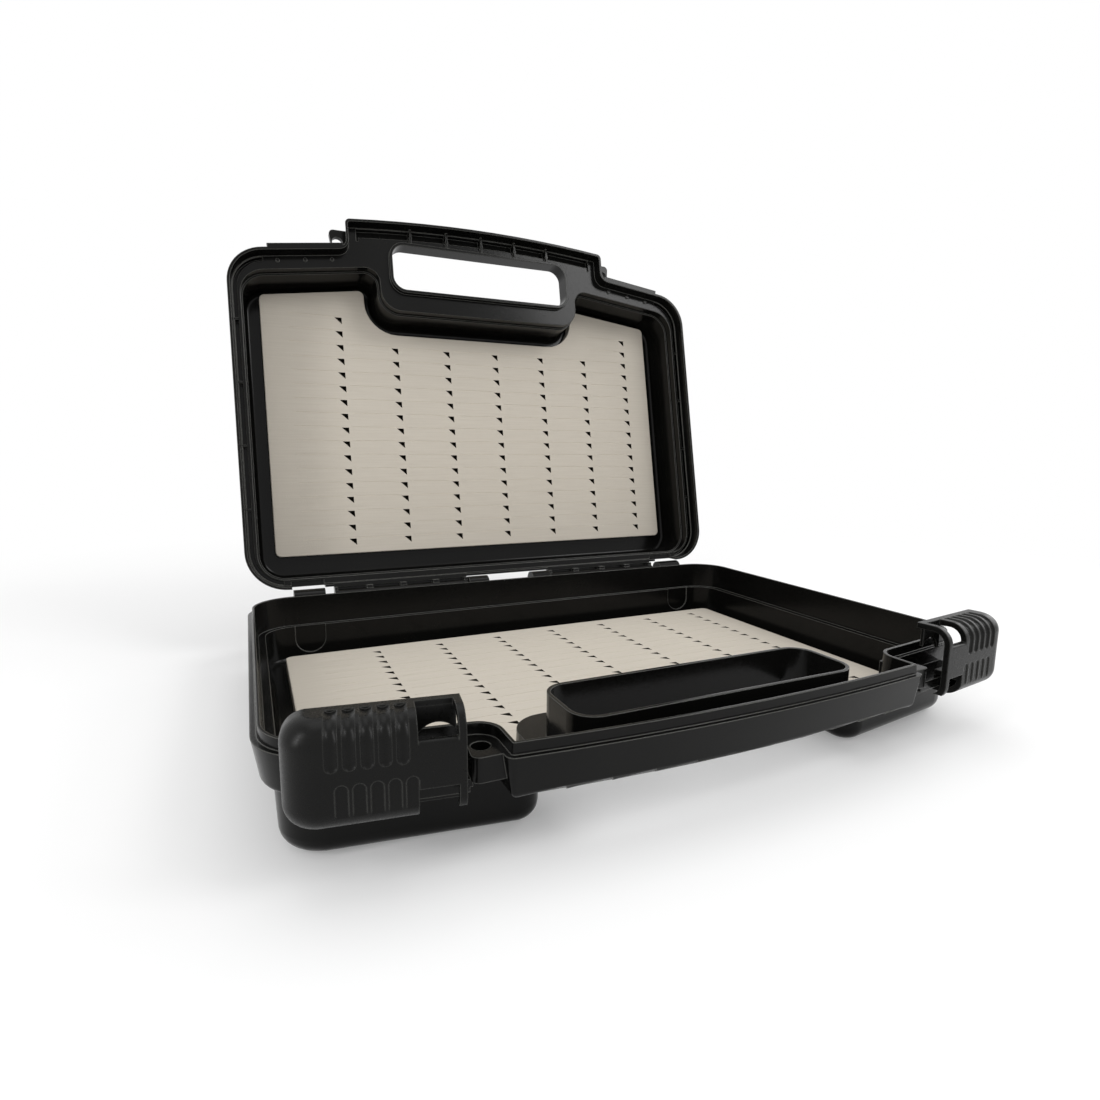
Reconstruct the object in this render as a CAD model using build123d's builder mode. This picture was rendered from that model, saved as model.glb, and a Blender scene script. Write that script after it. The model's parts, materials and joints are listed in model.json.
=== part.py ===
from build123d import *
import os
from math import atan, cos, radians, sin, tan

# Fly fishing boat box: a hinged case of two moulded shells with slide latches and slit foam liners.
# X runs along the hinge, the handle points to -Y and +Z is up. The origin is the middle of the underside.

# Case outline, seen from above
case_width = 348.0
back_y = 112.0             # outer face of the back wall
front_corner_y = -106.8    # where the slanted front would meet the side wall
front_slope = 8.0          # degrees that each front edge falls back towards its corner
corner_radius = 25.0
front_edge_span = 75.0     # across the case, from its side to the handle
handle_corner_y = -136.5
handle_bulge = 5.3         # how far the handle's front edge bows out in the middle
handle_corner_radius = 3.5
step_radius = 6.0          # hollow corner where the handle leaves the front edge

# Heights of the two shells, from the parting plane
base_height = 38.5
lid_height = 43.4
brim_depth = 16.0          # the wide band of each shell
brim_draft = 2.6
brim_round = 2.8
wall = 2.2
lid_floor_thickness = 2.4
base_floor = 3.4           # upper face of the base's floor

# Rims that nest when the case is closed
tongue_height = 4.2
tongue_inset = 2.1
tongue_draft = 0.4
tongue_thickness = 1.6
channel_draft = 1.0
skirt_thickness = 1.7        # at its edge
skirt_draft = 0.8            # of its inner face, up to the flange
land_depth = 8.0           # the lid's flange lies this far above the parting plane
rim_gap = 0.3              # between the two shells when the case is closed

# Tub below the brim, the same on both shells
tub_side_inset = 7.5
tub_back_inset = 6.5
lid_tub_front_inset = 11.2
base_tub_front_inset = 4.8
base_front_extra = 1.6     # the base's front wall is thicker by this much
tub_corner_radius = 17.0
tub_draft = 1.0
tub_edge_round = 7.0
floor_round = 2.8          # where the inside walls meet the floor
ledge_inset = 1.2
ledge_height = 15.0        # the lid's inner ledge, from the parting plane
bay_side_inset = 22.5      # the tub keeps clear of the finger hole, this far in from the handle's sides
bay_back_y = -79.2
bay_outer_radius = 9.5
bay_inner_radius = 14.0

# Finger hole
hole_y = -109.5
lid_hole_side_inset = 9.0  # from the sides of the bay
lid_hole_half_depth = 16.0
base_hole_side_inset = 9.2
base_hole_half_depth = 16.5
hole_radius = 9.0
collar_wall = 1.6
lid_rim_wall = 2.0
lid_rim_gap = 0.4          # between the lid's rim round the hole and the base's collar

# Hinge
hinge_offset = 6.5         # axis behind the back wall
pin_radius = 1.5
lid_bore_clearance = 0.06
base_bore_clearance = 0.02
barrel_radius = 4.2
barrel_start = 32.0
barrel_side_inset = 52.0
leg_radius = 6.1
inner_leg_start = 17.0
inner_leg_length = 14.5
outer_leg_length = 19.0
outer_leg_gap = 6.0
leg_drop = 9.0
leg_notch_gap = 0.6        # at each side of an outer leg, in the lid's rim above it
leg_notch_wall = 1.3       # left between the notch and the lid's pocket
leg_notch_top = 9.5        # from the parting plane
scallop_offset = 17.0      # from the barrel's end to the recess in the back wall below the outer leg
scallop_radius = 9.0
scallop_depth = 0.8
scallop_low = -31.0        # foot of the recess, from the parting plane
pin_start = 18.0
pin_tail = 24.0            # beyond the barrel's outer end
web_low = -2.0             # underside of the lid's hinge webs, from the parting plane
web_gap = 0.6              # between the webs and the back wall of the base
web_count = 4
web_length = 4.1
web_skin = 1.8             # closes the recesses between the webs at their upper end
lid_open_angle = 101.7     # the lid's angle from closed at rest

# Rails on the front edges that the slide latches run on
rail_near = 8.5            # top of the base rail, below the parting plane
rail_thick = 2.7
rail_end = 51.0            # along the front edge from the handle
base_rail_reach = 12.4
base_rail_lip = 2.8
base_rail_lip_drop = 1.8
lug_low = 11.8             # underside of the lid's lugs, above the parting plane
lug_thick = 2.4
lug_root = 5.0
lug_reach = 7.4
lug_length = 7.5
lug_first = 10.1
lug_pitch = 17.5
lug_count = 3
catch_reach = 2.4
catch_height = 3.0
catch_length = 50.5

# Slide latches, in their own frame: along the edge, out from it and up
latch_start = 10.8
latch_length = 55.0
latch_top = 19.0
latch_bottom = -15.8
latch_front = 22.0
latch_back = 6.5
latch_wall = 2.6
latch_lip = 2.7
latch_gap = 0.4
latch_round = 8.0
latch_end_round = 11.5
tooth_length = 7.0
tooth_gap = 0.5            # between a latch tooth and the lid's lug beside it, unlocked
window_start = 2.5
window_width = 12.3
bar_top = 10.8
bar_bottom = -4.5
bar_round = 1.2
rib_foot = -12.5
keeper_thick = 2.4
plate_gap = 0.4            # between the plate behind the window and the lid's lugs
plate_thick = 1.5
plate_low = 5.0
arch_radius = 7.2
arch_top = 11.2
flute_count = 5
flute_pitch = 5.17
flute_first = 19.3
flute_width = 3.9
flute_depth = 0.9
flute_low = 6.4
flute_back = 9.5
low_flute_top = 0.2
low_flute_depth = 0.4

# Padlock ears
ear_reach_y = 14.5
ear_end = 8.5              # along the front edge from the handle
ear_round = 3.0
ear_hole_radius = 3.4
ear_hole_x = 4.9
ear_hole_y = 6.2
base_ear_height = 9.0
lid_ear_low = 8.5
lid_ear_thickness = 3.5

# Foam liners
foam_thickness = 6.5
film_thickness = 0.5
foam_side_gap = 11.5       # from the tub's sides
foam_back_gap = 16.0       # from the tub's back
foam_front_inset = 16.8
foam_radius = 4.0
foam_bay_side_gap = 7.5   # from the bay's sides
foam_bay_back_gap = 8.2
foam_bay_radius = 22.5

# Grooves and cross ribs in the lid's flange
groove_inset = 0.7         # from the foot of the skirt
groove_depth = 4.0
side_groove_width = 2.5
side_groove_end_x = 152.0  # the side grooves run round the corners up to here
side_rib_count = 4
side_rib_pitch = 41.2
side_rib_middle = -2.5
rib_thickness = 1.4
handle_groove_width = 6.0
handle_groove_end_gap = 8.0
handle_rib_count = 5
handle_rib_pitch = 26.7
handle_rib_height = 2.2    # above the flange
stud_radius = 1.2
lid_stud_along = (10.1, 27.6, 45.1)
lid_stud_inset = 5.6

slope = tan(radians(front_slope))
half_width = case_width / 2
handle_half_width = half_width - front_edge_span
tub_half_width = half_width - tub_side_inset
bay_half_width = handle_half_width - bay_side_inset
lid_hole_half_width = bay_half_width - lid_hole_side_inset
base_hole_half_width = bay_half_width - base_hole_side_inset
handle_groove_half_length = handle_half_width - handle_groove_end_gap
foam_half_width = tub_half_width - foam_side_gap
foam_back_y = back_y - tub_back_inset - foam_back_gap
foam_bay_half_width = bay_half_width + foam_bay_side_gap
foam_bay_back_y = bay_back_y + foam_bay_back_gap
barrel_end = half_width - barrel_side_inset
outer_leg_start = barrel_end + outer_leg_gap
scallop_x = barrel_end + scallop_offset
pin_end = barrel_end + pin_tail
web_pitch = (barrel_end - barrel_start) / web_count
parting = base_height
axis_y = back_y + hinge_offset
lid_top = parting + lid_height
lid_floor = lid_top - lid_floor_thickness
land = parting + land_depth
base_ledge = parting - brim_depth + wall
lid_shoulder = parting + brim_depth - wall
lid_ledge = parting + ledge_height
tub_inset_low = ledge_inset + tub_draft
skirt_foot = skirt_thickness + skirt_draft
groove_outer = skirt_foot + groove_inset
hinge_axis = Axis((0, axis_y, parting), (1, 0, 0))


def front_y(x, inset=0.0):
    """Front edge of the case at x, moved inwards by inset."""
    return front_corner_y - slope * (half_width - abs(x)) + inset / cos(radians(front_slope))


step_y = front_y(handle_half_width)


def edge_point(side, along, out):
    """Point on the plan, along one front edge from the handle and out from it."""
    turn = radians(front_slope)
    x = handle_half_width + along * cos(turn) + out * sin(turn)
    return (side * x, step_y + along * sin(turn) - out * cos(turn))


def body_outline(height, inset=0.0):
    """Outline of the brim with its handle, drawn at a height."""
    with BuildSketch(Plane.XY.offset(height)) as sketch:
        with BuildLine():
            Polyline(
                (-handle_half_width, handle_corner_y),
                (-handle_half_width, step_y),
                (-half_width, front_corner_y),
                (-half_width, back_y),
                (half_width, back_y),
                (half_width, front_corner_y),
                (handle_half_width, step_y),
                (handle_half_width, handle_corner_y),
            )
            ThreePointArc(
                (handle_half_width, handle_corner_y),
                (0, handle_corner_y - handle_bulge),
                (-handle_half_width, handle_corner_y),
            )
        make_face()
        fillet([v for v in sketch.vertices() if abs(v.X) > half_width - 1], corner_radius)
        fillet([v for v in sketch.vertices() if abs(v.Y - step_y) < 0.1], step_radius)
        fillet([v for v in sketch.vertices() if abs(v.Y - handle_corner_y) < 0.1], handle_corner_radius)
        if inset:
            offset(amount=-inset)
    return sketch.sketch


def inner_outline(height, half_x, back, front_inset, bay_x, bay_y, radius, outer_radius, inner_radius, inset):
    """Outline that keeps to the back and sides and steps back round the finger hole."""
    side_y = front_y(half_x, front_inset)
    bay_front = front_y(bay_x, front_inset)
    with BuildSketch(Plane.XY.offset(height)) as sketch:
        with BuildLine():
            Polyline(
                (-bay_x, bay_y),
                (-bay_x, bay_front),
                (-half_x, side_y),
                (-half_x, back),
                (half_x, back),
                (half_x, side_y),
                (bay_x, bay_front),
                (bay_x, bay_y),
                close=True,
            )
        make_face()
        fillet([v for v in sketch.vertices() if abs(v.X) > half_x - 1], radius)
        fillet([v for v in sketch.vertices() if abs(v.Y - bay_front) < 0.1], outer_radius)
        fillet([v for v in sketch.vertices() if abs(v.Y - bay_y) < 0.1], inner_radius)
        if inset:
            offset(amount=-inset)
    return sketch.sketch


def tub_outline(height, front_inset, inset=0.0):
    """Outline of a tub at a height."""
    return inner_outline(
        height, tub_half_width, back_y - tub_back_inset, front_inset, bay_half_width, bay_back_y,
        tub_corner_radius, bay_outer_radius, bay_inner_radius, inset,
    )


def foam_outline(height):
    """Outline of a foam liner at a height."""
    return inner_outline(
        height, foam_half_width, foam_back_y, foam_front_inset, foam_bay_half_width, foam_bay_back_y,
        foam_radius, foam_radius, foam_bay_radius, 0.0,
    )


def hole_outline(height, half_x, half_y, grow=0.0):
    """Outline of a finger hole, grown for its collar."""
    with BuildSketch(Plane.XY.offset(height)) as sketch:
        with Locations((0, hole_y)):
            RectangleRounded(2 * (half_x + grow), 2 * (half_y + grow), hole_radius + grow)
    return sketch.sketch


def groove_outline(height, width, x0, x1, y0, y1):
    """Part of a groove that follows the skirt, cut to a box on the plan."""
    with BuildSketch(Plane.XY.offset(height)) as sketch:
        add(body_outline(0, groove_outer))
        add(body_outline(0, groove_outer + width), mode=Mode.SUBTRACT)
        with Locations(((x0 + x1) / 2, (y0 + y1) / 2)):
            Rectangle(abs(x1 - x0), abs(y1 - y0), mode=Mode.INTERSECT)
    return sketch.sketch


def plan_shape(height, points):
    """Polygon on the plan, drawn at a height."""
    with BuildSketch(Plane.XY.offset(height)) as sketch:
        with BuildLine():
            Polyline(*points, close=True)
        make_face()
    return sketch.sketch


def block(x0, x1, y0, y1, z0, z1, mode=Mode.ADD):
    """Plain block between two corners."""
    with Locations(((x0 + x1) / 2, (y0 + y1) / 2, (z0 + z1) / 2)):
        Box(abs(x1 - x0), abs(y1 - y0), abs(z1 - z0), mode=mode)


def edge_block(side, start, end, near, far, z0, z1, mode=Mode.ADD):
    """Block that lies along one front edge."""
    corners = [(start, near), (end, near), (end, far), (start, far)]
    shape = plan_shape(z0, [edge_point(side, along, out) for along, out in corners])
    extrude(shape, amount=z1 - z0, dir=(0, 0, 1), mode=mode)


def rod(x0, x1, radius, mode=Mode.ADD):
    """Round bar on the hinge axis."""
    with BuildSketch(Plane.YZ.offset(min(x0, x1))) as sketch:
        with Locations((axis_y, parting)):
            Circle(radius)
    extrude(sketch.sketch, amount=abs(x1 - x0), mode=mode)


def ear(side, low, high):
    """Padlock ear beside the handle, with its shackle hole."""
    near = edge_point(side, ear_end, -wall)
    far = edge_point(side, ear_end, ear_reach_y)
    tip_y = step_y - ear_reach_y
    with BuildSketch(Plane.XY.offset(low)) as sketch:
        with BuildLine():
            Polyline(
                (side * (handle_half_width - wall), step_y + wall),
                near,
                (far[0], tip_y),
                (side * (handle_half_width - wall), tip_y),
                close=True,
            )
        make_face()
        fillet([v for v in sketch.vertices() if abs(v.X - far[0]) < 0.1], ear_round)
    extrude(sketch.sketch, amount=high - low)
    with BuildSketch(Plane.XY.offset(low)) as hole:
        with Locations((side * (handle_half_width + ear_hole_x), step_y - ear_hole_y)):
            Circle(ear_hole_radius)
    extrude(hole.sketch, amount=high - low, mode=Mode.SUBTRACT)


def latch_body(inset):
    """Rounded body of a slide latch in its own frame, or its hollow when inset."""
    near = latch_back - inset
    low = latch_bottom + inset
    high = latch_top - inset
    with BuildPart() as body:
        block(-inset, latch_length - inset, near, latch_front - inset, low, high)
        corner = [e for e in body.edges().filter_by(Axis.Z) if e.center().X > 1 and e.center().Y > near + 1]
        fillet(corner, latch_end_round - inset)
        rims = [e for e in body.edges() if abs(e.center().Z - low) < 0.01 or abs(e.center().Z - high) < 0.01]
        rims = [e for e in rims if e.center().Y > near + 0.1 and e.center().X > 0.1]
        fillet(rims, latch_round - inset)
    return body.part


def flute(along):
    """Round bar that cuts one grip flute up the front of a latch and over its top."""
    radius = (flute_width ** 2 / 4 + flute_depth ** 2) / (2 * flute_depth)
    out = radius - flute_depth
    turn_y = latch_front - latch_round
    turn_z = latch_top - latch_round
    bend = latch_round + out
    with BuildPart() as bar:
        with BuildLine(Plane.YZ.offset(along)) as path:
            Line((turn_y + bend, flute_low), (turn_y + bend, turn_z))
            CenterArc((turn_y, turn_z), bend, 0, 90)
            Line((turn_y, turn_z + bend), (flute_back, turn_z + bend))
        with BuildSketch(Plane(origin=path.wires()[0] @ 0, z_dir=(0, 0, 1))):
            Circle(radius)
        sweep()
        with Locations((along, turn_y + bend, flute_low)):
            Sphere(radius)
    return bar.part


def low_flute(along):
    """Outline of one arched recess on the lower front of a latch."""
    height = low_flute_top - latch_bottom
    plane = Plane(origin=(along, latch_front - low_flute_depth, 0), x_dir=(1, 0, 0), z_dir=(0, -1, 0))
    with BuildSketch(plane) as sketch:
        with Locations((0, low_flute_top - height)):
            RectangleRounded(flute_width, 2 * height, flute_width / 2 - 0.01)
    return sketch.sketch


def edges_at(part, height):
    """Edges that lie flat at one height."""
    return part.edges().filter_by_position(Axis.Z, height - 0.01, height + 0.01)


# Base shell: brim, tub, tongue, collar, rails, ears and the hinge legs
with BuildPart() as base_shell:
    loft([body_outline(parting - brim_depth, brim_draft), body_outline(parting)], ruled=True)
    fillet(edges_at(base_shell, parting - brim_depth), brim_round)
    tub = [
        tub_outline(0, base_tub_front_inset - base_front_extra, tub_inset_low - wall),
        tub_outline(base_ledge, base_tub_front_inset - base_front_extra, ledge_inset - wall),
    ]
    loft(tub, ruled=True)
    fillet(edges_at(base_shell, 0), tub_edge_round)
    tongue = [
        body_outline(parting - 1, tongue_inset),
        body_outline(parting + tongue_height, tongue_inset + tongue_draft),
    ]
    loft(tongue, ruled=True)
    channel = [
        body_outline(base_ledge, tongue_inset + tongue_thickness + channel_draft),
        body_outline(parting + tongue_height, tongue_inset + tongue_thickness),
    ]
    loft(channel, ruled=True, mode=Mode.SUBTRACT)
    tub_inside = [
        tub_outline(base_floor, base_tub_front_inset, tub_inset_low),
        tub_outline(base_ledge, base_tub_front_inset, ledge_inset),
    ]
    loft(tub_inside, ruled=True, mode=Mode.SUBTRACT)
    fillet(edges_at(base_shell, base_floor), floor_round)
    collar_low = parting - brim_depth
    collar = hole_outline(collar_low, base_hole_half_width, base_hole_half_depth, collar_wall)
    extrude(collar, amount=brim_depth + tongue_height)
    opening = hole_outline(collar_low, base_hole_half_width, base_hole_half_depth)
    extrude(opening, amount=brim_depth + tongue_height, mode=Mode.SUBTRACT)
    wall_lean = atan(tub_draft / (base_ledge - base_floor))
    scallop_y = back_y - tub_back_inset - ledge_inset + scallop_depth
    scallop_foot = parting + scallop_low - base_ledge
    rail_top = parting - rail_near
    rail_bottom = rail_top - rail_thick
    for side in (-1, 1):
        ear(side, parting - base_ear_height, parting)
        edge_block(side, ear_end - 1, rail_end, -wall, base_rail_reach, rail_bottom, rail_top)
        lip_near = base_rail_reach - base_rail_lip
        lip_low = rail_bottom - base_rail_lip_drop
        edge_block(side, ear_end, rail_end, lip_near, base_rail_reach, lip_low, rail_bottom)
        back_wall = Plane(
            origin=(side * scallop_x, scallop_y, base_ledge),
            x_dir=(1, 0, 0),
            z_dir=(0, -cos(wall_lean), sin(wall_lean)),
        )
        with BuildSketch(back_wall) as scallop:
            with Locations((0, (scallop_foot + 1) / 2)):
                Rectangle(2 * scallop_radius, 1 - scallop_foot)
            fillet([v for v in scallop.vertices() if v.Y < scallop_foot + 1], scallop_radius - 0.1)
        extrude(scallop.sketch, amount=8, mode=Mode.SUBTRACT)
        legs = [(inner_leg_start, inner_leg_length), (outer_leg_start, outer_leg_length)]
        for start, length in legs:
            end = start + length
            block(side * start, side * end, back_y - wall, axis_y, parting - leg_drop, parting)
            rod(side * start, side * end, leg_radius)
            rod(side * start, side * end, pin_radius + base_bore_clearance, Mode.SUBTRACT)
base_shell.part.label = "base_shell"

# Lid shell, drawn closed: skirt, flange, pocket, hinge webs and barrels, rail lugs and ears
with BuildPart() as lid_shell:
    brim = [body_outline(parting + rim_gap), body_outline(parting + brim_depth, brim_draft)]
    loft(brim, ruled=True)
    fillet(edges_at(lid_shell, parting + brim_depth), brim_round)
    tub = [
        tub_outline(lid_shoulder, lid_tub_front_inset, ledge_inset - wall),
        tub_outline(lid_top, lid_tub_front_inset, tub_inset_low - wall),
    ]
    loft(tub, ruled=True)
    fillet(edges_at(lid_shell, lid_top), tub_edge_round)
    skirt = [body_outline(parting + rim_gap, skirt_thickness), body_outline(land, skirt_foot)]
    loft(skirt, ruled=True, mode=Mode.SUBTRACT)
    pocket_mouth = tub_outline(land, lid_tub_front_inset)
    extrude(pocket_mouth, amount=lid_ledge - land, mode=Mode.SUBTRACT)
    tub_inside = [
        tub_outline(lid_ledge, lid_tub_front_inset, ledge_inset),
        tub_outline(lid_floor, lid_tub_front_inset, tub_inset_low),
    ]
    loft(tub_inside, ruled=True, mode=Mode.SUBTRACT)
    fillet(edges_at(lid_shell, lid_floor), floor_round)
    groove_near = half_width - groove_outer
    groove_far = groove_near - side_groove_width
    for side in (-1, 1):
        side_ends = (side * side_groove_end_x, side * half_width)
        side_groove = groove_outline(land, side_groove_width, *side_ends, front_corner_y, back_y)
        extrude(side_groove, amount=groove_depth, mode=Mode.SUBTRACT)
        for i in range(side_rib_count):
            rib_y = side_rib_middle + (i - (side_rib_count - 1) / 2) * side_rib_pitch
            rib_ends = (rib_y - rib_thickness / 2, rib_y + rib_thickness / 2)
            block(side * groove_far, side * groove_near, *rib_ends, land, land + groove_depth)
    rib_back = hole_y - lid_hole_half_depth
    handle_ends = (-handle_groove_half_length, handle_groove_half_length)
    handle_front = handle_corner_y - handle_bulge
    handle_groove = groove_outline(land, handle_groove_width, *handle_ends, handle_front, rib_back)
    extrude(handle_groove, amount=groove_depth, mode=Mode.SUBTRACT)
    rib_low = land - handle_rib_height
    rib_height = handle_rib_height + groove_depth
    for i in range(handle_rib_count):
        rib_x = (i - (handle_rib_count - 1) / 2) * handle_rib_pitch
        bow = handle_bulge * (1 - (rib_x / handle_half_width) ** 2)
        rib_front = handle_corner_y - bow + skirt_foot - 0.5
        rib_sides = (rib_x - rib_thickness / 2, rib_x + rib_thickness / 2)
        block(*rib_sides, rib_front, rib_back, rib_low, rib_low + rib_height)
        with Locations((rib_x, (rib_front + rib_back) / 2, rib_low + rib_height / 2)):
            Cylinder(stud_radius, rib_height)
    lid_rim_low = parting + tongue_height + lid_rim_gap
    lid_rim = hole_outline(lid_rim_low, lid_hole_half_width, lid_hole_half_depth, lid_rim_wall)
    extrude(lid_rim, amount=land - lid_rim_low)
    opening = hole_outline(lid_rim_low, lid_hole_half_width, lid_hole_half_depth)
    extrude(opening, amount=parting + brim_depth - lid_rim_low, mode=Mode.SUBTRACT)
    for side in (-1, 1):
        for along in lid_stud_along:
            with Locations((*edge_point(side, along, -lid_stud_inset), land - 0.4)):
                Cylinder(stud_radius, 1.2)
    for side in (-1, 1):
        ear(side, parting + lid_ear_low, parting + lid_ear_low + lid_ear_thickness)
        edge_block(side, 2, catch_length, -1, catch_reach, parting + rim_gap, parting + catch_height)
        for i in range(lug_count):
            middle = lug_first + i * lug_pitch
            lug_ends = (middle - lug_length / 2, middle + lug_length / 2)
            lug_z = parting + lug_low
            edge_block(side, *lug_ends, -lug_root, lug_reach, lug_z, lug_z + lug_thick)
        web_back = back_y + web_gap
        notch_ends = (outer_leg_start - leg_notch_gap, outer_leg_start + outer_leg_length + leg_notch_gap)
        notch_near = back_y - tub_back_inset + leg_notch_wall
        notch_x = (side * notch_ends[0], side * notch_ends[1])
        block(*notch_x, notch_near, back_y + 1, parting, parting + leg_notch_top, Mode.SUBTRACT)
        web_bottom = parting + web_low
        web_top = parting + barrel_radius
        block(side * barrel_start, side * barrel_end, back_y - wall, axis_y, parting + rim_gap, web_top)
        block(side * barrel_start, side * barrel_end, web_back, axis_y, web_bottom, parting + rim_gap)
        for i in range(web_count):
            start = barrel_start + web_length / 2 + i * web_pitch
            end = start + web_pitch - web_length
            recess_ends = (side * start, side * end)
            block(*recess_ends, web_back, axis_y, web_bottom, web_top - web_skin, Mode.SUBTRACT)
        rod(side * barrel_start, side * barrel_end, barrel_radius)
        rod(side * barrel_start, side * barrel_end, pin_radius + lid_bore_clearance, Mode.SUBTRACT)
lid_shell.part = lid_shell.part.rotate(hinge_axis, -lid_open_angle)
lid_shell.part.label = "lid_shell"

# Left slide latch, drawn in its own frame and set on the left front edge
with BuildPart() as left_latch:
    add(latch_body(0))
    add(latch_body(latch_wall), mode=Mode.SUBTRACT)
    lip_far = latch_back + latch_lip
    lip_end = latch_length - latch_end_round
    lip_top = -(rail_near + rail_thick + latch_gap)
    block(0, lip_end, latch_back, lip_far, latch_bottom + latch_wall, lip_top)
    window_end = window_start + window_width
    keeper_low = latch_gap - rail_near
    keeper_far = latch_front - latch_wall + 0.5
    block(window_end, lip_end, lip_far, keeper_far, keeper_low, keeper_low + keeper_thick)
    tooth_low = lug_low + lug_thick + latch_gap
    for i in range(lug_count):
        start = lug_first + i * lug_pitch + lug_length / 2 + tooth_gap - latch_start
        block(start, start + tooth_length, latch_back, lip_far, tooth_low, latch_top - latch_wall)
    block(window_start, window_end, lip_far, latch_front + 1, bar_top, latch_top + 1, Mode.SUBTRACT)
    bar_edge = [
        e for e in left_latch.edges().filter_by(Axis.X)
        if abs(e.center().Z - bar_top) < 0.01 and e.center().Y > latch_front - 1 and e.center().X < window_end
    ]
    fillet(bar_edge, bar_round)
    block(window_start, window_end, lip_far, latch_front + 1, latch_bottom - 1, bar_bottom, Mode.SUBTRACT)
    block(-1, window_end, lip_far, latch_front + 1, latch_bottom - 1, rib_foot, Mode.SUBTRACT)
    plate_near = lug_reach + plate_gap
    plate_ends = (window_start - 1, window_end + 1)
    block(*plate_ends, plate_near, plate_near + plate_thick, plate_low, latch_top - latch_wall + 0.5)
    arch_middle = window_start + window_width / 2 - 1
    with Locations((arch_middle, plate_near + plate_thick / 2, arch_top - arch_radius)):
        Cylinder(arch_radius, plate_thick + 0.2, rotation=(90, 0, 0), mode=Mode.SUBTRACT)
    for i in range(flute_count):
        along = flute_first + i * flute_pitch
        add(flute(along), mode=Mode.SUBTRACT)
        extrude(low_flute(along - flute_pitch / 2), amount=-2 * low_flute_depth, mode=Mode.SUBTRACT)
left_latch.part.label = "left_latch"

turn = radians(front_slope)
left_edge = Plane(
    origin=(-handle_half_width, step_y, parting),
    x_dir=(-cos(turn), sin(turn), 0),
    z_dir=(0, 0, 1),
)
left_latch.part = left_latch.part.moved(Location(left_edge) * Location((latch_start, 0, 0)))
left_latch.part.label = "left_latch"

# Right slide latch, the left one mirrored
with BuildPart() as right_latch:
    add(mirror(left_latch.part, about=Plane.YZ))
right_latch.part.label = "right_latch"

# Steel hinge pins
with BuildPart() as left_hinge_pin:
    rod(-pin_end, -pin_start, pin_radius)
left_hinge_pin.part.label = "left_hinge_pin"

with BuildPart() as right_hinge_pin:
    rod(pin_start, pin_end, pin_radius)
right_hinge_pin.part.label = "right_hinge_pin"

# Foam liners and the adhesive film behind each of them
with BuildPart() as base_foam_adhesive:
    extrude(foam_outline(base_floor), amount=film_thickness)
base_foam_adhesive.part.label = "base_foam_adhesive"

with BuildPart() as base_foam:
    extrude(foam_outline(base_floor + film_thickness), amount=foam_thickness)
base_foam.part.label = "base_foam"

with BuildPart() as lid_foam_adhesive:
    extrude(foam_outline(lid_floor - film_thickness), amount=film_thickness)
lid_foam_adhesive.part = lid_foam_adhesive.part.rotate(hinge_axis, -lid_open_angle)
lid_foam_adhesive.part.label = "lid_foam_adhesive"

with BuildPart() as lid_foam:
    extrude(foam_outline(lid_floor - film_thickness - foam_thickness), amount=foam_thickness)
lid_foam.part = lid_foam.part.rotate(hinge_axis, -lid_open_angle)
lid_foam.part.label = "lid_foam"

os.makedirs("parts", exist_ok=True)
export_step(base_shell.part, "parts/base_shell.step")
export_step(lid_shell.part, "parts/lid_shell.step")
export_step(left_latch.part, "parts/left_latch.step")
export_step(right_latch.part, "parts/right_latch.step")
export_step(left_hinge_pin.part, "parts/left_hinge_pin.step")
export_step(right_hinge_pin.part, "parts/right_hinge_pin.step")
export_step(base_foam_adhesive.part, "parts/base_foam_adhesive.step")
export_step(base_foam.part, "parts/base_foam.step")
export_step(lid_foam_adhesive.part, "parts/lid_foam_adhesive.step")
export_step(lid_foam.part, "parts/lid_foam.step")
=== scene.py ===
import bpy
import bmesh
import json
from math import cos, radians, sin, tan
from mathutils import Matrix, Vector


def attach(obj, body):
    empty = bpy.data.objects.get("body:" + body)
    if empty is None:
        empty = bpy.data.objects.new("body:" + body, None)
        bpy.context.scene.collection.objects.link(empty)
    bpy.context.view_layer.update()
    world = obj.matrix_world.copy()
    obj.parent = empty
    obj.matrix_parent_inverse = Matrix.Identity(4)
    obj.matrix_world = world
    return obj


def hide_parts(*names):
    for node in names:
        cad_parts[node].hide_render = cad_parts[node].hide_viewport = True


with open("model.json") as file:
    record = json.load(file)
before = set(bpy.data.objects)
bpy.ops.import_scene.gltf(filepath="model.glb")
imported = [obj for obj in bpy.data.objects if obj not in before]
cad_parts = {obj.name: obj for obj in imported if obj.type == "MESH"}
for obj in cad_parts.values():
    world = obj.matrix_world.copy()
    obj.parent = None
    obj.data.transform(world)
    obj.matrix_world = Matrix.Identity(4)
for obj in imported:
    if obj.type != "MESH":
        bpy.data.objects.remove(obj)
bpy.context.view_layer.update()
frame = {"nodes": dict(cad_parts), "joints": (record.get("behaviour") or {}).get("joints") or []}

MM = 0.001
lid_hinge = next(j for j in frame["joints"] if j["name"] == "lid_hinge")
hinge = Vector(lid_hinge["pos_m"])
open_angle = radians(lid_hinge["range_deg"][1])
lid_turn = Matrix.Translation(hinge) @ Matrix.Rotation(-open_angle, 4, "X") @ Matrix.Translation(-hinge)

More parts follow.
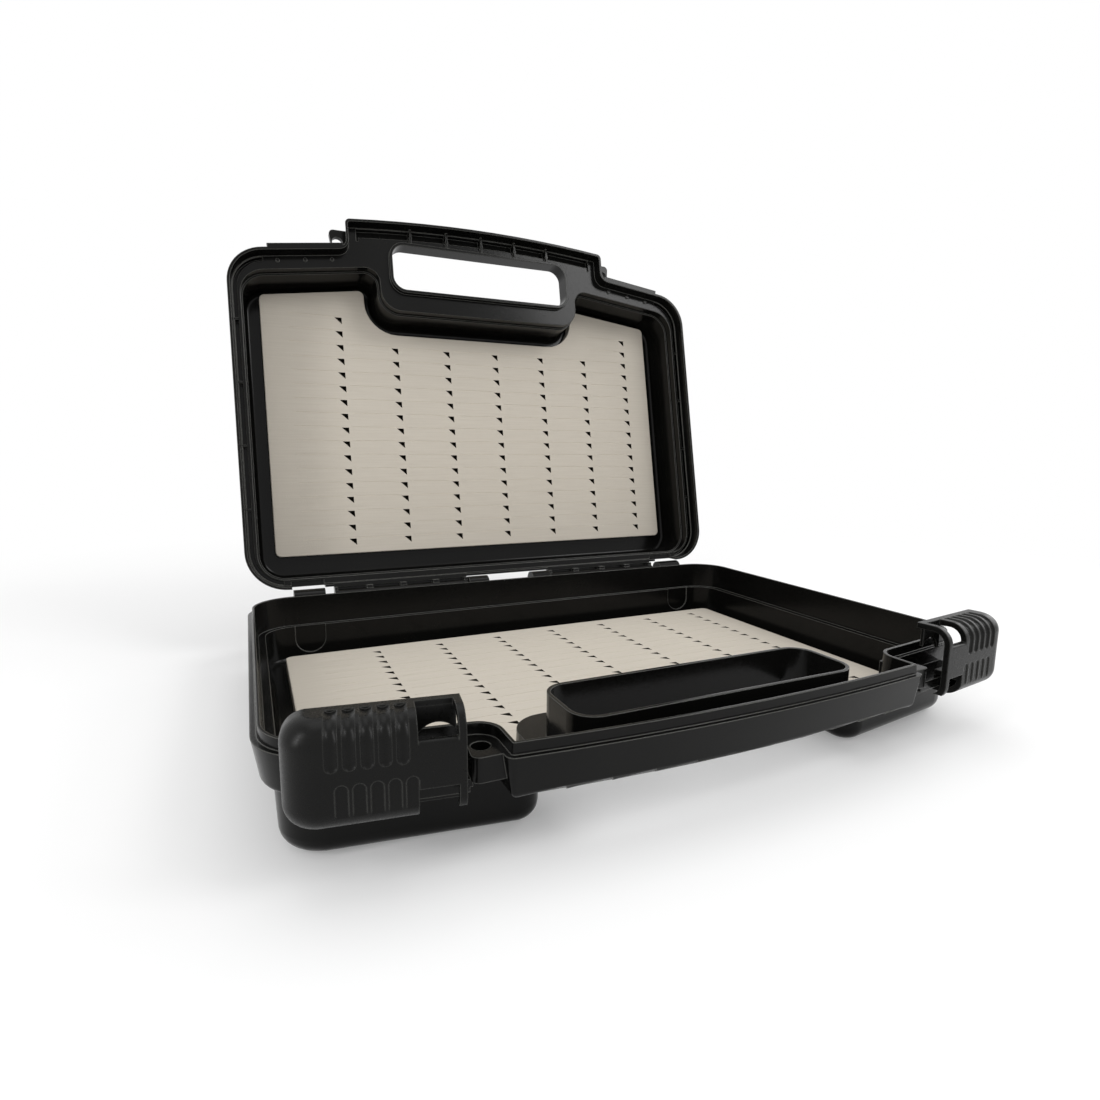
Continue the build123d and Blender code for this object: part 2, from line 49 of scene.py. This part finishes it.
# Camera at the photograph's viewpoint, in metres, with its lens and sensor in mm
SENSOR_WIDTH, LENS = 36.0, 21.403
CAMERA_X, CAMERA_Y, CAMERA_ABOVE_HINGE = -0.16919, -0.31922, 0.09965
cam_data = bpy.data.cameras.new("camera")
cam_data.sensor_width = SENSOR_WIDTH
cam_data.lens = LENS
cam_data.clip_start = 0.01
camera = bpy.data.objects.new("camera", cam_data)
bpy.context.scene.collection.objects.link(camera)
right = Vector((0.90868368, -0.41739861, 0.0085075))
up = Vector((0.059246, 0.14909768, 0.98704599))
back = Vector((-0.41326007, -0.89640855, 0.16021182))
turn = Matrix((right, up, back)).transposed().to_4x4()
place = Vector((CAMERA_X, CAMERA_Y, hinge.z + CAMERA_ABOVE_HINGE))
camera.matrix_world = Matrix.Translation(place) @ turn
bpy.context.scene.camera = camera


def new_material(name, color, roughness):
    mat = bpy.data.materials.new(name)
    mat.use_nodes = True
    shader = mat.node_tree.nodes["Principled BSDF"]
    shader.inputs["Base Color"].default_value = (*color, 1)
    shader.inputs["Roughness"].default_value = roughness
    return mat, mat.node_tree, shader


def noise(tree, scale, detail=2.0, roughness=0.5):
    coords = tree.nodes.new("ShaderNodeTexCoord")
    node = tree.nodes.new("ShaderNodeTexNoise")
    node.inputs["Scale"].default_value = scale
    node.inputs["Detail"].default_value = detail
    node.inputs["Roughness"].default_value = roughness
    tree.links.new(coords.outputs["Object"], node.inputs["Vector"])
    return node


def ramp(tree, source, low, high, at=(0.35, 0.65)):
    node = tree.nodes.new("ShaderNodeValToRGB")
    node.color_ramp.elements[0].position = at[0]
    node.color_ramp.elements[1].position = at[1]
    node.color_ramp.elements[0].color = (*low, 1)
    node.color_ramp.elements[1].color = (*high, 1)
    tree.links.new(source, node.inputs["Fac"])
    return node.outputs["Color"]


def bump(tree, shader, height, strength, distance):
    node = tree.nodes.new("ShaderNodeBump")
    node.inputs["Strength"].default_value = strength
    node.inputs["Distance"].default_value = distance
    tree.links.new(height, node.inputs["Height"])
    tree.links.new(node.outputs["Normal"], shader.inputs["Normal"])
    return node


# Width of the rounded edges in metres, and the normals' dot product where the painted edge highlight
# starts and is full
EDGE_WIDTH, HIGHLIGHT_START, HIGHLIGHT_FULL = 0.0008, 0.97, 0.80
ROUGH_SPREAD = 0.05


def edge_mask(tree, rounded_normal):
    """""Mask of the painted edge highlight: 1 along sharp edges, where the rounded normal leaves the true
    one, and 0 on flat faces.
    """
    true_normal = tree.nodes.new("ShaderNodeNewGeometry").outputs["True Normal"]
    dot = tree.nodes.new("ShaderNodeVectorMath")
    dot.operation = "DOT_PRODUCT"
    tree.links.new(rounded_normal, dot.inputs[0])
    tree.links.new(true_normal, dot.inputs[1])
    spread = tree.nodes.new("ShaderNodeMapRange")
    spread.inputs["From Min"].default_value = HIGHLIGHT_START
    spread.inputs["From Max"].default_value = HIGHLIGHT_FULL
    tree.links.new(dot.outputs["Value"], spread.inputs["Value"])
    return spread.outputs["Result"]


def plastic(name, dark, light, edge_highlight, rough, gloss):
    """""Satin black moulded plastic whose sharp edges get a painted highlight, a lighter base colour
    along them.
    """
    mat, tree, shader = new_material(name, dark, rough)
    shader.inputs["Specular IOR Level"].default_value = gloss
    patches = noise(tree, 18.0, 3.0)
    grain = noise(tree, 900.0, 4.0, 0.6)
    low, high = rough - ROUGH_SPREAD, rough + ROUGH_SPREAD
    tree.links.new(ramp(tree, grain.outputs["Fac"], (low,) * 3, (high,) * 3), shader.inputs["Roughness"])
    edge = tree.nodes.new("ShaderNodeBevel")
    edge.samples = 6
    edge.inputs["Radius"].default_value = EDGE_WIDTH
    # Painted highlight: the base colour turns lighter along sharp edges, standing in for the light they
    # catch.
    painted_highlight = tree.nodes.new("ShaderNodeMix")
    painted_highlight.data_type = "RGBA"
    tree.links.new(edge_mask(tree, edge.outputs["Normal"]), painted_highlight.inputs["Factor"])
    tree.links.new(ramp(tree, patches.outputs["Fac"], dark, light), painted_highlight.inputs["A"])
    painted_highlight.inputs["B"].default_value = (*edge_highlight, 1)
    tree.links.new(painted_highlight.outputs["Result"], shader.inputs["Base Color"])
    fine = bump(tree, shader, grain.outputs["Fac"], 0.2, 0.0001)
    tree.links.new(edge.outputs["Normal"], fine.inputs["Normal"])
    return mat


# The edge colours are painted highlights laid along sharp edges; the dark and light colours are random
# patches of tone.
SHELL_DARK, SHELL_LIGHT = (0.0030, 0.0030, 0.0027), (0.0048, 0.0048, 0.0044)
SHELL_EDGE_HIGHLIGHT, SHELL_ROUGH, SHELL_GLOSS = (0.12, 0.12, 0.11), 0.17, 0.15
LATCH_DARK, LATCH_LIGHT = (0.0035, 0.0035, 0.0032), (0.0055, 0.0055, 0.0050)
LATCH_EDGE_HIGHLIGHT, LATCH_ROUGH, LATCH_GLOSS = (0.055, 0.055, 0.051), 0.30, 0.14
shell_plastic = plastic("shell_plastic", SHELL_DARK, SHELL_LIGHT, SHELL_EDGE_HIGHLIGHT, SHELL_ROUGH, SHELL_GLOSS)
latch_plastic = plastic("latch_plastic", LATCH_DARK, LATCH_LIGHT, LATCH_EDGE_HIGHLIGHT, LATCH_ROUGH, LATCH_GLOSS)

pin_steel, tree, shader = new_material("pin_steel", (0.62, 0.61, 0.60), 0.28)
shader.inputs["Metallic"].default_value = 1.0
scratches = noise(tree, 700.0)
tree.links.new(ramp(tree, scratches.outputs["Fac"], (0.22,) * 3, (0.36,) * 3), shader.inputs["Roughness"])


def brushed(tree, scale):
    """Noise drawn out along the foam's slits."""
    coords = tree.nodes.new("ShaderNodeUVMap")
    coords.uv_map = "plan"
    stretch = tree.nodes.new("ShaderNodeMapping")
    stretch.inputs["Scale"].default_value = (scale * 0.03, scale, 1)
    node = tree.nodes.new("ShaderNodeTexNoise")
    node.inputs["Scale"].default_value = 1.0
    node.inputs["Detail"].default_value = 3.0
    tree.links.new(coords.outputs["UV"], stretch.inputs["Vector"])
    tree.links.new(stretch.outputs["Vector"], node.inputs["Vector"])
    return node.outputs["Fac"]


foam_mat, tree, shader = new_material("foam", (0.55, 0.505, 0.435), 0.9)
shader.inputs["Specular IOR Level"].default_value = 0.15
tree.links.new(
    ramp(tree, brushed(tree, 900.0), (0.530, 0.487, 0.420), (0.560, 0.517, 0.448)),
    shader.inputs["Base Color"],
)
cells = noise(tree, 1400.0, 3.0, 0.7)
bump(tree, shader, cells.outputs["Fac"], 0.35, 0.00025)

# Painted shade: the notches' walls and floor are coloured near black for the shade inside the deep
# notches, though they are the same beige foam.
notch_shade_mat, tree, shader = new_material("foam_notch_painted_shade", (0.03, 0.027, 0.023), 0.95)
shader.inputs["Specular IOR Level"].default_value = 0.0
pores = noise(tree, 1200.0)
tree.links.new(
    ramp(tree, pores.outputs["Fac"], (0.020, 0.018, 0.015), (0.040, 0.036, 0.030)),
    shader.inputs["Base Color"],
)

# Painted highlight: the slits' faces are a lighter foam colour, standing in for the light caught along
# each slit's edges.
slit_highlight_mat, tree, shader = new_material("foam_slit_painted_highlight", (0.70, 0.65, 0.57), 0.9)
shader.inputs["Specular IOR Level"].default_value = 0.15
slit_highlight_cells = noise(tree, 1200.0)
tree.links.new(
    ramp(tree, slit_highlight_cells.outputs["Fac"], (0.66, 0.61, 0.53), (0.74, 0.69, 0.61)),
    shader.inputs["Base Color"],
)

film_mat, tree, shader = new_material("adhesive", (0.66, 0.63, 0.56), 0.55)
film_noise = noise(tree, 60.0)
tree.links.new(
    ramp(tree, film_noise.outputs["Fac"], (0.50, 0.46, 0.40), (0.58, 0.54, 0.47)),
    shader.inputs["Base Color"],
)

finish = {
    "base_shell": shell_plastic,
    "lid_shell": shell_plastic,
    "left_latch": latch_plastic,
    "right_latch": latch_plastic,
    "left_hinge_pin": pin_steel,
    "right_hinge_pin": pin_steel,
    "base_foam_adhesive": film_mat,
    "lid_foam_adhesive": film_mat,
}
for node, mat in finish.items():
    obj = frame["nodes"][node]
    for slot in obj.material_slots:
        slot.material = mat

# Foam liners with their fly slits, drawn in mm with the lid closed
FOAM_HALF, FOAM_BACK, FOAM_INSET, FOAM_RADIUS = 155.0, 89.5, 16.8, 4.0
BAY_HALF, BAY_BACK, BAY_RADIUS = 84.0, -71.0, 22.5
SIDE, FRONT_CORNER, FRONT_SLOPE = 174.0, -106.8, radians(8.0)
COLUMN_FIRST, COLUMN_PITCH, COLUMNS = -100.9, 39.3, 7
ROW_FIRST, ROW_PITCH, SIDE_ROWS, MIDDLE_ROWS = 79.2, 10.0, 17, 15
RIM_ROUND, RIM_CHAMFER = 0.5, 0.15
NOTCH_WIDE, NOTCH_HIGH, NOTCH_DEEP = 5.0, 4.6, 5.0
SLIT_START, SLIT_END, SLIT_WIDE, SLIT_DEEP, SLIT_OFFSET = 5.5, 36.0, 0.30, 0.25, 0.7


def front_y(x, inset):
    return FRONT_CORNER - tan(FRONT_SLOPE) * (SIDE - abs(x)) + inset / cos(FRONT_SLOPE)


def rounded(points, radii, step=8):
    """Closed outline with rounded corners."""
    out = []
    count = len(points)
    for i, p in enumerate(points):
        p = Vector(p)
        a = (Vector(points[i - 1]) - p).normalized()
        b = (Vector(points[(i + 1) % count]) - p).normalized()
        half = a.angle(b) / 2
        reach = radii[i] / tan(half)
        centre = p + (a + b).normalized() * (radii[i] / sin(half))
        start = (p + a * reach - centre).normalized()
        end = (p + b * reach - centre).normalized()
        for k in range(step + 1):
            out.append(centre + radii[i] * start.slerp(end, k / step))
    return out


def foam_outline(shrink):
    x, bay = FOAM_HALF - shrink, BAY_HALF + shrink
    back_y, bay_y = FOAM_BACK - shrink, BAY_BACK + shrink
    inset = FOAM_INSET + shrink
    points = [
        (-bay, bay_y), (-bay, front_y(bay, inset)), (-x, front_y(x, inset)), (-x, back_y),
        (x, back_y), (x, front_y(x, inset)), (bay, front_y(bay, inset)), (bay, bay_y),
    ]
    r, wide = FOAM_RADIUS - shrink, BAY_RADIUS + shrink
    return rounded(points, [wide, r, r, r, r, r, r, wide])


def notch_places():
    """Square corner of each notch, column by column."""
    places = []
    for column in range(COLUMNS):
        rows = SIDE_ROWS if column in (0, COLUMNS - 1) else MIDDLE_ROWS
        for row in range(rows):
            places.append((COLUMN_FIRST + COLUMN_PITCH * column, ROW_FIRST - ROW_PITCH * row))
    return places


def prism(bm, outline, z0, z1, material):
    rims = [[bm.verts.new((x, y, z)) for x, y in outline] for z in (z0, z1)]
    faces = [bm.faces.new(rims[0]), bm.faces.new(list(reversed(rims[1])))]
    for i in range(len(outline)):
        j = (i + 1) % len(outline)
        faces.append(bm.faces.new((rims[0][j], rims[0][i], rims[1][i], rims[1][j])))
    for face in faces:
        face.material_index = material


def foam_slab(bm, foot, face):
    """Slab whose rim is rounded at its face."""
    sign = 1 if face > foot else -1
    rings = [
        (0.0, foot), (0.0, face - sign * RIM_ROUND),
        (RIM_CHAMFER, face - sign * RIM_CHAMFER), (RIM_ROUND, face),
    ]
    loops = []
    for shrink, z in rings:
        loops.append([bm.verts.new((p.x, p.y, z)) for p in foam_outline(shrink)])
    for a, b in zip(loops, loops[1:]):
        for i in range(len(a)):
            j = (i + 1) % len(a)
            bm.faces.new((a[i], a[j], b[j], b[i]))
    bm.faces.new(loops[0])
    bm.faces.new(loops[-1])
    bmesh.ops.remove_doubles(bm, verts=bm.verts, dist=0.001)


def foam_cuts(bm, face, sign, flat):
    """Notches and slits, with the notches' flat edges towards flat along Y."""
    top, bottom, slit_bottom = face + sign, face - sign * NOTCH_DEEP, face - sign * SLIT_DEEP
    for x, y in notch_places():
        # The notch walls get material 1, near black: painted shade inside each notch.
        prism(bm, [(x, y), (x, y - flat * NOTCH_HIGH), (x - NOTCH_WIDE, y)], top, bottom, 1)
        slit_y = y + flat * SLIT_OFFSET
        low, high = slit_y - SLIT_WIDE / 2, slit_y + SLIT_WIDE / 2
        near, far = x - SLIT_START, x - SLIT_END
        slit = [(near, high), (near, low), (far, low), (far, high)]
        # The shallow slit is cut with material 2, a lighter foam colour painted as a highlight along each
        # slit.
        prism(bm, slit, top, slit_bottom, 2)


def mesh_object(name, bm):
    bmesh.ops.recalc_face_normals(bm, faces=bm.faces)
    mesh = bpy.data.meshes.new(name)
    bm.to_mesh(mesh)
    bm.free()
    for mat in (foam_mat, notch_shade_mat, slit_highlight_mat):
        mesh.materials.append(mat)
    obj = bpy.data.objects.new(name, mesh)
    bpy.context.scene.collection.objects.link(obj)
    return obj


def foam_liner(name, foot, face, flat):
    """Foam sheet with its notches and slits cut in, and its plan kept as a UV map."""
    slab = bmesh.new()
    foam_slab(slab, foot, face)
    obj = mesh_object(name, slab)
    cuts = bmesh.new()
    foam_cuts(cuts, face, 1 if face > foot else -1, flat)
    cutter = mesh_object(name + "_cuts", cuts)
    modifier = obj.modifiers.new("cut", "BOOLEAN")
    modifier.object = cutter
    modifier.operation = "DIFFERENCE"
    modifier.solver = "EXACT"
    modifier.use_self = True
    graph = bpy.context.evaluated_depsgraph_get()
    obj.data = bpy.data.meshes.new_from_object(obj.evaluated_get(graph))
    obj.modifiers.clear()
    bpy.data.objects.remove(cutter)
    obj.data.transform(Matrix.Scale(MM, 4))
    plan = obj.data.uv_layers.new(name="plan")
    for loop in obj.data.loops:
        plan.data[loop.index].uv = obj.data.vertices[loop.vertex_index].co.xy
    return obj


def closed_heights(node, turn):
    """Lower and upper face of a CAD slab in mm, turned back to the closed case."""
    heights = [(turn @ v.co).z / MM for v in frame["nodes"][node].data.vertices]
    return min(heights), max(heights)


base_low, base_high = closed_heights("base_foam", Matrix.Identity(4))
base_foam = foam_liner("base_foam_sheet", base_low, base_high, 1)
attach(base_foam, "base")
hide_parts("base_foam")

lid_low, lid_high = closed_heights("lid_foam", lid_turn.inverted())
lid_foam = foam_liner("lid_foam_sheet", lid_high, lid_low, -1)
lid_foam.data.transform(lid_turn)
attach(lid_foam, "lid")
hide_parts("lid_foam")

# Floor and backdrop, white to the camera away from the object's shadow
FLOOR_COLOR, FLOOR_ROUGH, FLOOR_SIZE, FLOOR_DROP = (0.72, 0.72, 0.72), 0.8, 6.0, 0.0005
FADE_NEAR, FADE_FAR, FLOOR_LIFT = 0.34, 0.80, 0.20
ROOM_STRENGTH, BACKDROP_STRENGTH = 0.72, 1.0
floor_mat, tree, shader = new_material("floor", FLOOR_COLOR, FLOOR_ROUGH)
shader.inputs["Specular IOR Level"].default_value = 0.0
bm = bmesh.new()
bmesh.ops.create_grid(bm, x_segments=1, y_segments=1, size=FLOOR_SIZE)
floor_mesh = bpy.data.meshes.new("floor")
bm.to_mesh(floor_mesh)
bm.free()
floor = bpy.data.objects.new("floor", floor_mesh)
floor.location = (0, 0, -FLOOR_DROP)
floor.data.materials.append(floor_mat)
bpy.context.scene.collection.objects.link(floor)


def seen(tree):
    """1 for rays that show the background: from the camera, mirrored or let through."""
    path = tree.nodes.new("ShaderNodeLightPath")
    found = path.outputs["Is Camera Ray"]
    for name in ("Is Glossy Ray", "Is Transmission Ray"):
        either = tree.nodes.new("ShaderNodeMath")
        either.operation = "MAXIMUM"
        tree.links.new(found, either.inputs[0])
        tree.links.new(path.outputs[name], either.inputs[1])
        found = either.outputs[0]
    return found


def times(tree, a, b):
    node = tree.nodes.new("ShaderNodeMath")
    node.operation = "MULTIPLY"
    for source, socket in ((a, node.inputs[0]), (b, node.inputs[1])):
        if isinstance(source, float):
            socket.default_value = source
        else:
            tree.links.new(source, socket)
    return node.outputs[0]


coords = tree.nodes.new("ShaderNodeTexCoord")
length = tree.nodes.new("ShaderNodeVectorMath")
length.operation = "LENGTH"
tree.links.new(coords.outputs["Object"], length.inputs[0])
fade = tree.nodes.new("ShaderNodeMapRange")
fade.interpolation_type = "SMOOTHSTEP"
fade.inputs["From Min"].default_value = FADE_NEAR
fade.inputs["From Max"].default_value = FADE_FAR
tree.links.new(length.outputs["Value"], fade.inputs["Value"])
white = tree.nodes.new("ShaderNodeEmission")
white.inputs["Color"].default_value = (1, 1, 1, 1)
white.inputs["Strength"].default_value = BACKDROP_STRENGTH
far = tree.nodes.new("ShaderNodeMixShader")
tree.links.new(times(tree, fade.outputs["Result"], seen(tree)), far.inputs["Fac"])
lift = tree.nodes.new("ShaderNodeEmission")
lift.inputs["Color"].default_value = (1, 1, 1, 1)
tree.links.new(times(tree, seen(tree), FLOOR_LIFT), lift.inputs["Strength"])
near = tree.nodes.new("ShaderNodeAddShader")
tree.links.new(shader.outputs[0], near.inputs[0])
tree.links.new(lift.outputs[0], near.inputs[1])
tree.links.new(near.outputs[0], far.inputs[1])
tree.links.new(white.outputs[0], far.inputs[2])
tree.links.new(far.outputs[0], tree.nodes["Material Output"].inputs["Surface"])

world = bpy.data.worlds.new("world")
bpy.context.scene.world = world
world.use_nodes = True
tree = world.node_tree
backdrop = tree.nodes["Background"]
backdrop.inputs["Color"].default_value = (1, 1, 1, 1)
backdrop.inputs["Strength"].default_value = BACKDROP_STRENGTH
room = tree.nodes.new("ShaderNodeBackground")
room.inputs["Color"].default_value = (1, 1, 1, 1)
room.inputs["Strength"].default_value = ROOM_STRENGTH
mix = tree.nodes.new("ShaderNodeMixShader")
tree.links.new(seen(tree), mix.inputs["Fac"])
tree.links.new(room.outputs[0], mix.inputs[1])
tree.links.new(backdrop.outputs[0], mix.inputs[2])
tree.links.new(mix.outputs[0], tree.nodes["World Output"].inputs["Surface"])


def lamp(name, place, target, size, power):
    data = bpy.data.lights.new(name, "AREA")
    data.shape = "RECTANGLE"
    data.size, data.size_y = size
    data.energy = power
    obj = bpy.data.objects.new(name, data)
    obj.location = place
    obj.rotation_euler = (Vector(target) - Vector(place)).to_track_quat("-Z", "Y").to_euler()
    bpy.context.scene.collection.objects.link(obj)


# Lamps: place and target in metres, width and height in metres, power in watts
lamp("key", (0.9, -0.9, 1.2), (0, 0, 0.05), (0.6, 0.5), 7)
lamp("left", (-1.1, -0.35, 0.55), (0, 0, 0.1), (0.14, 0.9), 4.5)
lamp("right", (1.3, -0.1, 0.6), (0, 0, 0.05), (0.9, 0.7), 4.5)
lamp("top", (0.0, 0.2, 1.6), (0, 0, 0.05), (1.2, 1.1), 4.5)

bpy.context.scene.view_settings.view_transform = "Standard"
